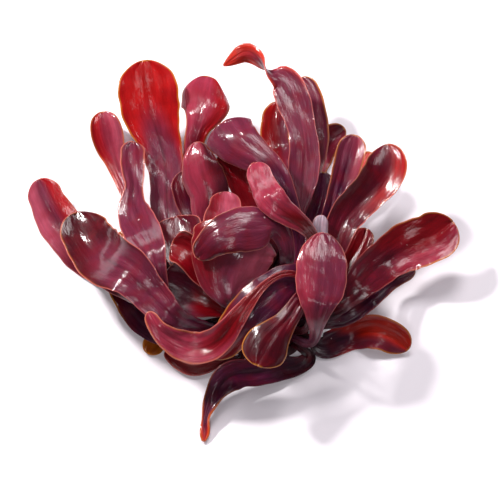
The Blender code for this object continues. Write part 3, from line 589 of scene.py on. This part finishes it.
# The finished blade, in millimetres: ROOT_BURY is how far its root goes into the holdfast. Half its
# thickness is at most SLIM_SHARE of half its width and SLIM_LEAST more.
BLADE_THICKNESS = 0.9
TIP_ROUNDING = 0.9
SLIM_SHARE, SLIM_LEAST = 0.35, 0.02
ROOT_BURY = 2.2

# Its grid: the step along it in millimetres, the cells across it, and the stations round the tip,
# which stop just short of a quarter turn so that the skin's end is a small face and not a point
FINE_STEP = 1.3
FINE_ACROSS = 28
FINE_TIP_STATIONS = 14
TIP_TURN = math.radians(88.5)

# How far each fine form lifts the blade, and from which half width on it does so fully
EDGE_WAVE, EDGE_WAVE_FULL = 0.35, 5.0
GROOVE_DEPTH = 0.22
SWELL_HEIGHT = 0.45
PLEAT_HEIGHT = 0.28
RELIEF_FULL = 6.0

# The largest share of a V in the cross-section, and how round the bottom of the V is
CREASE_SHARE = 0.6
CREASE_ROUND = 0.004

# The blade's UV map: millimetres along it, and PATTERN_HALF from the middle to its widest edge.
# PATTERN_APART keeps one frond's pattern clear of the next one's.
PATTERN_HALF = 10.0
PATTERN_APART = 60.0

# The finished holdfast: its rings, closer together at the foot, and the forms of its surface
HOLDFAST_RINGS = 34
HOLDFAST_ROUND = 128
RING_POWER = 1.6
LOBE_DEPTH = 0.03
KNOB_HEIGHT = 0.012
CROWN_RISE = 0.3


def fine_stations(frond, length):
    """Shares of the length: even along the body, then as the sine of an even turn to the tip."""
    tip_share = frond.tip * frond.route[-1][3] / 2.0 / length
    body = np.linspace(0.0, 1.0 - tip_share, int(length * (1.0 - tip_share) / FINE_STEP) + 2)
    turns = np.linspace(0.0, TIP_TURN, FINE_TIP_STATIONS + 1)[1:]
    return np.concatenate([body, 1.0 - tip_share * (1.0 - np.sin(turns))])


def fine_blade(frond, order, route):
    """The finished middle surface, as rows of sheet points, with its widths and shares.

    It is the laid blade, and rise gains five parts: a crease, which pulls the arc of the
    cross-section towards a V; small waves that grow as v cubed towards the two edges, out of step
    with each other; a groove along the middle; a low swell of crossed sines; and pleats that run
    along the blade. The width wavers by two small sines. A number under along is a wave's length
    over 2 pi, in millimetres, and order sets each frond's waves apart from the next one's.
    """
    length = lengths_along(route[:, :3])[-1]
    u = fine_stations(frond, length)
    v = np.sin(0.5 * math.pi * np.linspace(-1.0, 1.0, FINE_ACROSS + 1))[None, :]
    centre, side, face = held_along(route, u)
    along = (u * length)[:, None]
    half = half_widths(frond, centre[:, 4], u * length, length)[:, None]
    sideways, arc, turn = arched(frond, half, v)
    vee = np.sqrt(v**2 + CREASE_ROUND) * half * np.tan(0.5 * turn)
    crease = CREASE_SHARE * LOOKS[frond.name].crease
    rise = arc * (1.0 - crease) + vee * crease + ruffled(frond, u[:, None], v)
    small = np.sin(along / 3.3 + order + np.where(v > 0, 1.9, 0.0))
    small = small * np.sin(along / 7.9 + 2.3 * order)
    blend = smooth_step((u[:, None] - RUFFLE_FROM) / RUFFLE_FADE)
    rise = rise + EDGE_WAVE * np.abs(v) ** 3 * small * blend * smooth_step(half / EDGE_WAVE_FULL)
    relief = smooth_step(half / RELIEF_FULL)
    rise = rise - GROOVE_DEPTH * np.exp(-(v / GROOVE_WIDTH) ** 2) * relief
    swell = np.sin(along / 6.1 + 2.0 * v + order) * np.sin(2.6 * v + along / 11.0 + 1.7 * order)
    rise = rise + SWELL_HEIGHT * swell * (1.0 - v**2) * relief
    pleat = np.sin(7.0 * v + 1.2 * np.sin(along / 13.0 + order) + order)
    pleat = pleat + 0.5 * np.sin(15.0 * v + along / 17.0)
    rise = rise + PLEAT_HEIGHT * pleat * (1.0 - v**4) * relief
    waver = 0.02 * np.sin(along / 4.7 + 3.0 * order) + 0.012 * np.sin(along / 1.9 + order)
    return placed(centre, side, face, sideways * (1.0 + waver), rise), u, v, half, length


def closed_skin(points, half_thick):
    """Top and under side at half_thick to both sides of a middle surface, as one closed grid.

    Its rings run over the top from v = -1 to 1 and back under, so u is along and the ring is round.
    """
    along = np.gradient(points, axis=0)
    across = np.gradient(points, axis=1)
    facing = np.cross(across, along)
    facing /= np.linalg.norm(facing, axis=2, keepdims=True) + 1e-12
    top = points + half_thick[..., None] * facing
    under = points - half_thick[..., None] * facing
    return np.concatenate([top, under[:, -2:0:-1]], axis=1)


def ring_faces(rows, round_count):
    """Quads of a grid that closes on itself round each row, and one face at each of its ends."""
    index = np.arange(rows * round_count).reshape(rows, round_count)
    after = np.roll(index, -1, axis=1)
    quads = np.stack([index[:-1], after[:-1], after[1:], index[1:]], axis=-1).reshape(-1, 4)
    return quads, index[0][::-1], index[-1]


def put_mesh(name, vertices, quads, ends, material, fields=None, uv=None):
    """A smooth mesh object at the origin from whole arrays, with its fields on the points."""
    faces = quads.tolist() + [end.tolist() for end in ends]
    mesh = bpy.data.meshes.new(name)
    mesh.from_pydata((vertices * MM).tolist(), [], faces)
    for label, values in (fields or {}).items():
        kind, key = ("FLOAT_COLOR", "color") if values.ndim == 2 else ("FLOAT", "value")
        layer = mesh.attributes.new(label, kind, "POINT")
        layer.data.foreach_set(key, np.ascontiguousarray(values, dtype=np.float32).ravel())
    if uv is not None:
        loops = np.empty(len(mesh.loops), dtype=np.int32)
        mesh.loops.foreach_get("vertex_index", loops)
        layer = mesh.uv_layers.new(name="blade")
        layer.data.foreach_set("uv", uv[loops].astype(np.float32).ravel())
    mesh.materials.append(material)
    mesh.shade_smooth()
    mesh.update()
    made = bpy.data.objects.new(name, mesh)
    bpy.context.scene.collection.objects.link(made)
    return made


def both_sides(table):
    """A table of the top side's points, gone round to the under side as the skin's rings do."""
    return np.concatenate([table, table[:, -2:0:-1]], axis=1)


def blade_tint(look, u, v):
    """The colour at each u and v: foot to body to head along the frond, with its sides tinted."""
    u, v = np.broadcast_arrays(u[:, None], v)
    to_body = smooth_step((u - BODY_FROM) / BODY_FADE)[..., None]
    to_head = smooth_step((u + HEAD_ARCH * v**2 - look.head_from) / HEAD_FADE)[..., None]
    tint = look.foot * (1.0 - to_body) + look.body * to_body
    tint = tint * (1.0 - to_head) + look.head * to_head
    # A side's tint is the frond's own colour on most fronds, and painted light or painted shade on
    # the creased and the front standing frond
    for colour, way in ((look.left, -1.0), (look.right, 1.0)):
        if colour is not None:
            share = smooth_step((way * v - SIDE_MIDDLE) / SIDE_SOFT)
            share = share * smooth_step((u - look.head_from + SIDE_LEAD) / SIDE_FADE)
            share = SIDE_COVER * share[..., None]
            tint = tint * (1.0 - share) + colour * share
    # Painted shade: the blade is darker along its middle, and darker still where it creases
    painted_shade = np.exp(-(v / PAINTED_SHADE_WIDTH) ** 2) * smooth_step((PAINTED_SHADE_END - u) / PAINTED_SHADE_FADE)
    return tint * (1.0 - (MIDDLE_PAINTED_SHADE + CREASE_PAINTED_SHADE * look.crease) * painted_shade)[..., None]


def frond_piece(frond, order, route, material):
    """One frond's closed skin, with its colour, its distance from the rim and its rim's tints.

    Half its thickness is BLADE_THICKNESS / 2 times the root of 1 - v**8, times the root of
    1 - (1 - t)**2, where t is the distance from the tip over TIP_ROUNDING, up to 1.
    """
    points, u, v, half, length = fine_blade(frond, order, route)
    to_tip = np.clip((1.0 - u) * length / TIP_ROUNDING, 0.0, 1.0)[:, None]
    thick = 0.5 * BLADE_THICKNESS * np.sqrt(1.0 - np.abs(v) ** 8 + 1e-4)
    thick = thick * np.sqrt(1.0 - (1.0 - to_tip) ** 2 + 1e-3)
    thick = np.minimum(thick, SLIM_SHARE * half + SLIM_LEAST)
    middle = table_points(points)
    start = middle[:1] - (middle[1:2] - middle[:1]) / FINE_STEP * ROOT_BURY
    skin = closed_skin(np.concatenate([start, middle]), np.concatenate([thick[:1], thick]))
    quads, foot, tip = ring_faces(*skin.shape[:2])

    look = LOOKS[frond.name]
    edge = np.minimum(half * (1.0 - np.abs(v)), ((1.0 - u) * length)[:, None])
    whole = np.ones(edge.shape)
    pale = smooth_step((u[:, None] - PALE_FROM) / RIM_FADE) * look.pale * whole
    amber = smooth_step((u[:, None] - AMBER_FROM) / RIM_FADE) * look.amber * whole
    broadest = np.maximum.accumulate(half, axis=0)
    across = PATTERN_HALF * half * v / np.maximum(broadest, 1.0)
    down = (u * length)[:, None] * whole
    tint = np.dstack([blade_tint(look, u, v), whole])
    tables = [
        both_sides(np.concatenate([table[:1], table]))
        for table in (edge, pale, amber, across, down, tint)]
    edge, pale, amber, across, down = [table.ravel() for table in tables[:-1]]
    tint = tables[-1].reshape(-1, 4)
    fields = {"tint": tint, "edge_mm": edge, "pale_rim": pale, "amber_rim": amber}
    uv = np.column_stack([across + PATTERN_APART * order, down])

    name = "blade_" + frond.name
    made = put_mesh(name, skin.reshape(-1, 3), quads, (foot, tip), material, fields, uv)
    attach(made, "root")
    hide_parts(frond.name)


# The holdfast's finished surface
def holdfast_piece(material):
    """Rings of the dome, their radius gone in and out by five broad lobes and by smaller knobs.

    Below FOOT_HEIGHT the radius flares by a smooth step into the thin foot. The first and the last
    ring are drawn in, to close the underside and the crown.
    """
    rings = np.linspace(0.0, 1.0, HOLDFAST_RINGS)[1:] ** RING_POWER
    share = np.concatenate([[0.0, 0.0], rings, [1.0]])[:, None]
    turn = np.linspace(0.0, 2.0 * math.pi, HOLDFAST_ROUND, endpoint=False)[None, :]
    lumps = 1.0 - LOBE_DEPTH * (1.0 + np.sin(5.0 * turn + 2.0 * share))
    knobs = KNOB_HEIGHT * np.sin(17.0 * turn + 9.0 * share) * np.sin(11.0 * share + 3.0 * turn)
    flare = HOLDFAST_FOOT * (1.0 - smooth_step(share * HOLDFAST_HEIGHT / FOOT_HEIGHT))
    reach = (holdfast_radius(share) + flare) * (lumps + knobs - 0.01)
    reach[0] *= 0.02
    reach[-1] *= 0.05
    height = np.repeat(share * HOLDFAST_HEIGHT, HOLDFAST_ROUND, axis=1)
    height[-1] += CROWN_RISE
    skin = np.stack([reach * np.cos(turn), reach * np.sin(turn), height], axis=-1)
    quads, foot, top = ring_faces(*skin.shape[:2])
    made = put_mesh("holdfast_skin", skin.reshape(-1, 3), quads, (foot, top), material)
    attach(made, "root")
    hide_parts("holdfast")


# Materials
def add_node(tree, kind, links=None, settings=None, values=None):
    """One node, with its settings, its sockets' values and the outputs that feed its sockets."""
    node = tree.nodes.new(kind)
    for key, value in (settings or {}).items():
        setattr(node, key, value)
    for key, value in (values or {}).items():
        node.inputs[key].default_value = value
    for key, output in (links or {}).items():
        tree.links.new(output, node.inputs[key])
    return node


def new_material(name):
    """A material with its node tree and its shader."""
    made = bpy.data.materials.new(name)
    made.use_nodes = True
    tree = made.node_tree
    return made, tree, tree.nodes["Principled BSDF"]


def wet_dulse_blade():
    """Fresh dulse, wet: a thin leathery blade under a film of water.

    The film of water gives a sharp gloss, and under it the tissue's own surface hardly shines. Fine
    ribs run along the blade and break the highlights into strokes. The rim is thinner, so that it
    shows paler or amber.
    """
    made, tree, shader = new_material("wet_dulse_blade")
    uv = add_node(tree, "ShaderNodeUVMap", settings={"uv_map": "blade"}).outputs["UV"]
    tint, edge, pale, amber = [
        add_node(tree, "ShaderNodeAttribute", settings={"attribute_name": label}).outputs
        for label in ("tint", "edge_mm", "pale_rim", "amber_rim")]

    # Ribs 0.8 mm apart and 25 mm long, strokes 4 mm apart and 33 mm long, and patches 11 mm across
    ribs_at = add_node(tree, "ShaderNodeMapping", {"Vector": uv}, values={
        "Scale": (1.25, 0.04, 1.0)}).outputs[0]
    ribs = add_node(tree, "ShaderNodeTexNoise", {"Vector": ribs_at}, values={
        "Scale": 1.0, "Detail": 3.0, "Roughness": 0.6}).outputs[0]
    strokes_at = add_node(tree, "ShaderNodeMapping", {"Vector": uv}, values={
        "Scale": (0.25, 0.03, 1.0)}).outputs[0]
    strokes = add_node(tree, "ShaderNodeTexNoise", {"Vector": strokes_at}, values={
        "Scale": 1.0, "Detail": 5.0, "Roughness": 0.62, "Distortion": 0.3}).outputs[0]
    patches = add_node(tree, "ShaderNodeTexNoise", {"Vector": uv}, values={
        "Scale": 0.09, "Detail": 2.0, "Roughness": 0.5}).outputs[0]

    # The tint is deeper and lighter along strokes and ribs, and turns to crimson in the patches
    shade = add_node(tree, "ShaderNodeMapRange", {"Value": strokes}, values={
        "From Min": 0.3, "From Max": 0.7, "To Min": 0.64, "To Max": 1.2}).outputs[0]
    rib_shade = add_node(tree, "ShaderNodeMapRange", {"Value": ribs}, values={
        "From Min": 0.3, "From Max": 0.7, "To Min": 0.9, "To Max": 1.07}).outputs[0]
    both = add_node(tree, "ShaderNodeMath", {0: shade, 1: rib_shade}, {
        "operation": "MULTIPLY"}).outputs[0]
    colour = add_node(tree, "ShaderNodeVectorMath", {0: tint["Color"], "Scale": both}, {
        "operation": "SCALE"}).outputs[0]
    warm_share = add_node(tree, "ShaderNodeMapRange", {"Value": patches}, values={
        "From Min": 0.45, "From Max": 0.75, "To Min": 0.0, "To Max": 0.45}).outputs[0]

    # Each rim tint is full up to one distance from the edge and has ended at the next, both in mm
    rim_shares = []
    for strength, full, ended, most in ((amber, 0.3, 1.3, 1.0), (pale, 0.1, 0.75, 0.9)):
        share = add_node(tree, "ShaderNodeMapRange", {"Value": edge["Fac"]}, values={
            "From Min": full, "From Max": ended, "To Min": most, "To Max": 0.0}).outputs[0]
        rim_shares.append(add_node(tree, "ShaderNodeMath", {0: share, 1: strength["Fac"]}, {
            "operation": "MULTIPLY"}).outputs[0])

    # Specks of trapped air and salt, 1 mm across, in a few of the cells 8 mm wide
    cells = add_node(tree, "ShaderNodeTexVoronoi", {"Vector": uv}, values={"Scale": 0.12}).outputs
    speck = add_node(tree, "ShaderNodeMapRange", {"Value": cells["Distance"]}, values={
        "From Min": 0.045, "From Max": 0.07, "To Min": 1.0, "To Max": 0.0}).outputs[0]
    rare = add_node(tree, "ShaderNodeMapRange", {"Value": cells["Color"]}, values={
        "From Min": 0.64, "From Max": 0.68, "To Min": 0.0, "To Max": 0.6}).outputs[0]
    speck_share = add_node(tree, "ShaderNodeMath", {0: speck, 1: rare}, {
        "operation": "MULTIPLY"}).outputs[0]

    shares = (warm_share, *rim_shares, speck_share)
    for share, laid in zip(shares, (CRIMSON, RIM_AMBER, RIM_PINK, SALT)):
        mixed = add_node(tree, "ShaderNodeMix", {"Factor": share, "A": colour}, {
            "data_type": "RGBA"})
        mixed.inputs["B"].default_value = (*laid, 1.0)
        colour = mixed.outputs["Result"]
    tree.links.new(colour, shader.inputs["Base Color"])

    # The strokes roughen the tissue under the water, and strokes and ribs both stand up from it
    rough = add_node(tree, "ShaderNodeMapRange", {"Value": strokes}, values={
        "From Min": 0.3, "From Max": 0.7, "To Min": 0.26, "To Max": 0.46}).outputs[0]
    tree.links.new(rough, shader.inputs["Roughness"])
    rib_bump = add_node(tree, "ShaderNodeBump", {"Height": ribs}, values={
        "Strength": 0.5, "Distance": 0.00025}).outputs[0]
    stroke_bump = add_node(tree, "ShaderNodeBump", {"Height": strokes, "Normal": rib_bump}, values={
        "Strength": 0.6, "Distance": 0.0013}).outputs[0]
    tree.links.new(stroke_bump, shader.inputs["Normal"])
    tree.links.new(stroke_bump, shader.inputs["Coat Normal"])

    # The coat is the water, and the thin tissue under it lets a little red light through
    shader.inputs["IOR"].default_value = 1.4
    shader.inputs["Specular IOR Level"].default_value = 0.08
    shader.inputs["Coat Weight"].default_value = 1.0
    shader.inputs["Coat Roughness"].default_value = 0.11
    shader.inputs["Coat IOR"].default_value = 1.33
    shader.inputs["Subsurface Weight"].default_value = 0.12
    shader.inputs["Subsurface Radius"].default_value = (1.0, 0.15, 0.1)
    shader.inputs["Subsurface Scale"].default_value = 0.0015
    return made


def holdfast_tissue():
    """The holdfast's tough tissue: darker and duller than the blades, with a fine uneven skin."""
    made, tree, shader = new_material("holdfast_tissue")
    place = add_node(tree, "ShaderNodeTexCoord").outputs["Object"]

    # Mottling 4 mm across
    mottle = add_node(tree, "ShaderNodeTexNoise", {"Vector": place}, values={
        "Scale": 250.0, "Detail": 5.0, "Roughness": 0.6}).outputs[0]
    colour = add_node(tree, "ShaderNodeMix", {"Factor": mottle}, {"data_type": "RGBA"})
    colour.inputs["A"].default_value = (*NIGHT, 1.0)
    colour.inputs["B"].default_value = (*MAROON, 1.0)
    tree.links.new(colour.outputs["Result"], shader.inputs["Base Color"])
    bump = add_node(tree, "ShaderNodeBump", {"Height": mottle}, values={
        "Strength": 0.5, "Distance": 0.0008}).outputs[0]
    tree.links.new(bump, shader.inputs["Normal"])
    shader.inputs["Roughness"].default_value = 0.5
    return made


# The camera, in millimetres
LENS = 180.0
SENSOR_WIDTH = 36.0

# The table and the lights, in metres
TABLE_REACH = 3.0
LIGHTS_AIM = (0.0, 0.03, 0.03)

# Each light is a disk: its name, place, diameter, power in watts and colour
LIGHTS = (
    ("window_light", (-0.74, 0.54, 0.94), 0.15, 23.0, (1.0, 0.985, 0.97)),
    ("ceiling_panel", (0.04, 0.5, 0.92), 0.36, 6.0, (1.0, 0.98, 0.99)),
    ("overhead_panel", (-0.14, 0.02, 1.05), 0.2, 0.7, (1.0, 0.96, 0.98)),
    ("front_panel", (-0.1, -0.7, 1.0), 0.26, 2.8, (1.0, 0.97, 1.0)),
    ("side_window", (0.62, 0.42, 0.75), 0.24, 2.2, (0.98, 0.97, 1.0)),
)


def pale_table():
    """A light table's plain matt white top, lit faintly from below."""
    made, _, shader = new_material("matt_white_acrylic")
    shader.inputs["Base Color"].default_value = (*linear("e2dce2"), 1.0)
    shader.inputs["Roughness"].default_value = 0.9
    shader.inputs["Specular IOR Level"].default_value = 0.1
    shader.inputs["Emission Color"].default_value = (1.0, 0.94, 0.985, 1.0)
    shader.inputs["Emission Strength"].default_value = 0.08
    ways = ((-1, -1), (1, -1), (1, 1), (-1, 1))
    corners = [(TABLE_REACH * x, TABLE_REACH * y, 0.0) for x, y in ways]
    mesh = bpy.data.meshes.new("table_top")
    mesh.from_pydata(corners, [], [(0, 1, 2, 3)])
    mesh.materials.append(made)
    table = bpy.data.objects.new("table_top", mesh)
    bpy.context.scene.collection.objects.link(table)


def turned_to(thing, place, aim):
    """Puts a light or the camera in the scene at its place, facing its aim."""
    thing.location = place
    thing.rotation_mode = "QUATERNION"
    thing.rotation_quaternion = (Vector(aim) - Vector(place)).to_track_quat("-Z", "Y")
    bpy.context.scene.collection.objects.link(thing)


def soft_light(name, place, size, power, colour):
    """One disk of light that faces the tuft."""
    light = bpy.data.lights.new(name, "AREA")
    light.shape = "DISK"
    light.size = size
    light.energy = power
    light.color = colour
    turned_to(bpy.data.objects.new(name, light), place, LIGHTS_AIM)


def lights_and_camera():
    """The lights, a dim pale room round them, and the camera at the eye of all sight lines."""
    bpy.context.scene.view_settings.view_transform = "Standard"
    for light in LIGHTS:
        soft_light(*light)
    world = bpy.data.worlds.new("pale_room")
    bpy.context.scene.world = world
    world.use_nodes = True
    room = world.node_tree.nodes["Background"]
    room.inputs["Color"].default_value = (0.96, 0.93, 1.0, 1.0)
    room.inputs["Strength"].default_value = 0.13
    rise = AIM_RISE * MM
    aim = Vector((AIM_RIGHT * MM, rise * math.sin(SIGHT), rise * math.cos(SIGHT)))
    back = Vector((0.0, -math.cos(SIGHT), math.sin(SIGHT)))
    camera = bpy.data.cameras.new("camera")
    camera.lens = LENS
    camera.sensor_width = SENSOR_WIDTH
    eye = bpy.data.objects.new("camera", camera)
    turned_to(eye, aim + back * EYE_DISTANCE * MM, aim)
    bpy.context.scene.camera = eye


blade_material = wet_dulse_blade()
for order, (frond, route) in enumerate(zip(FRONDS, lay_fronds())):
    frond_piece(frond, order, route, blade_material)
holdfast_piece(holdfast_tissue())
pale_table()
lights_and_camera()

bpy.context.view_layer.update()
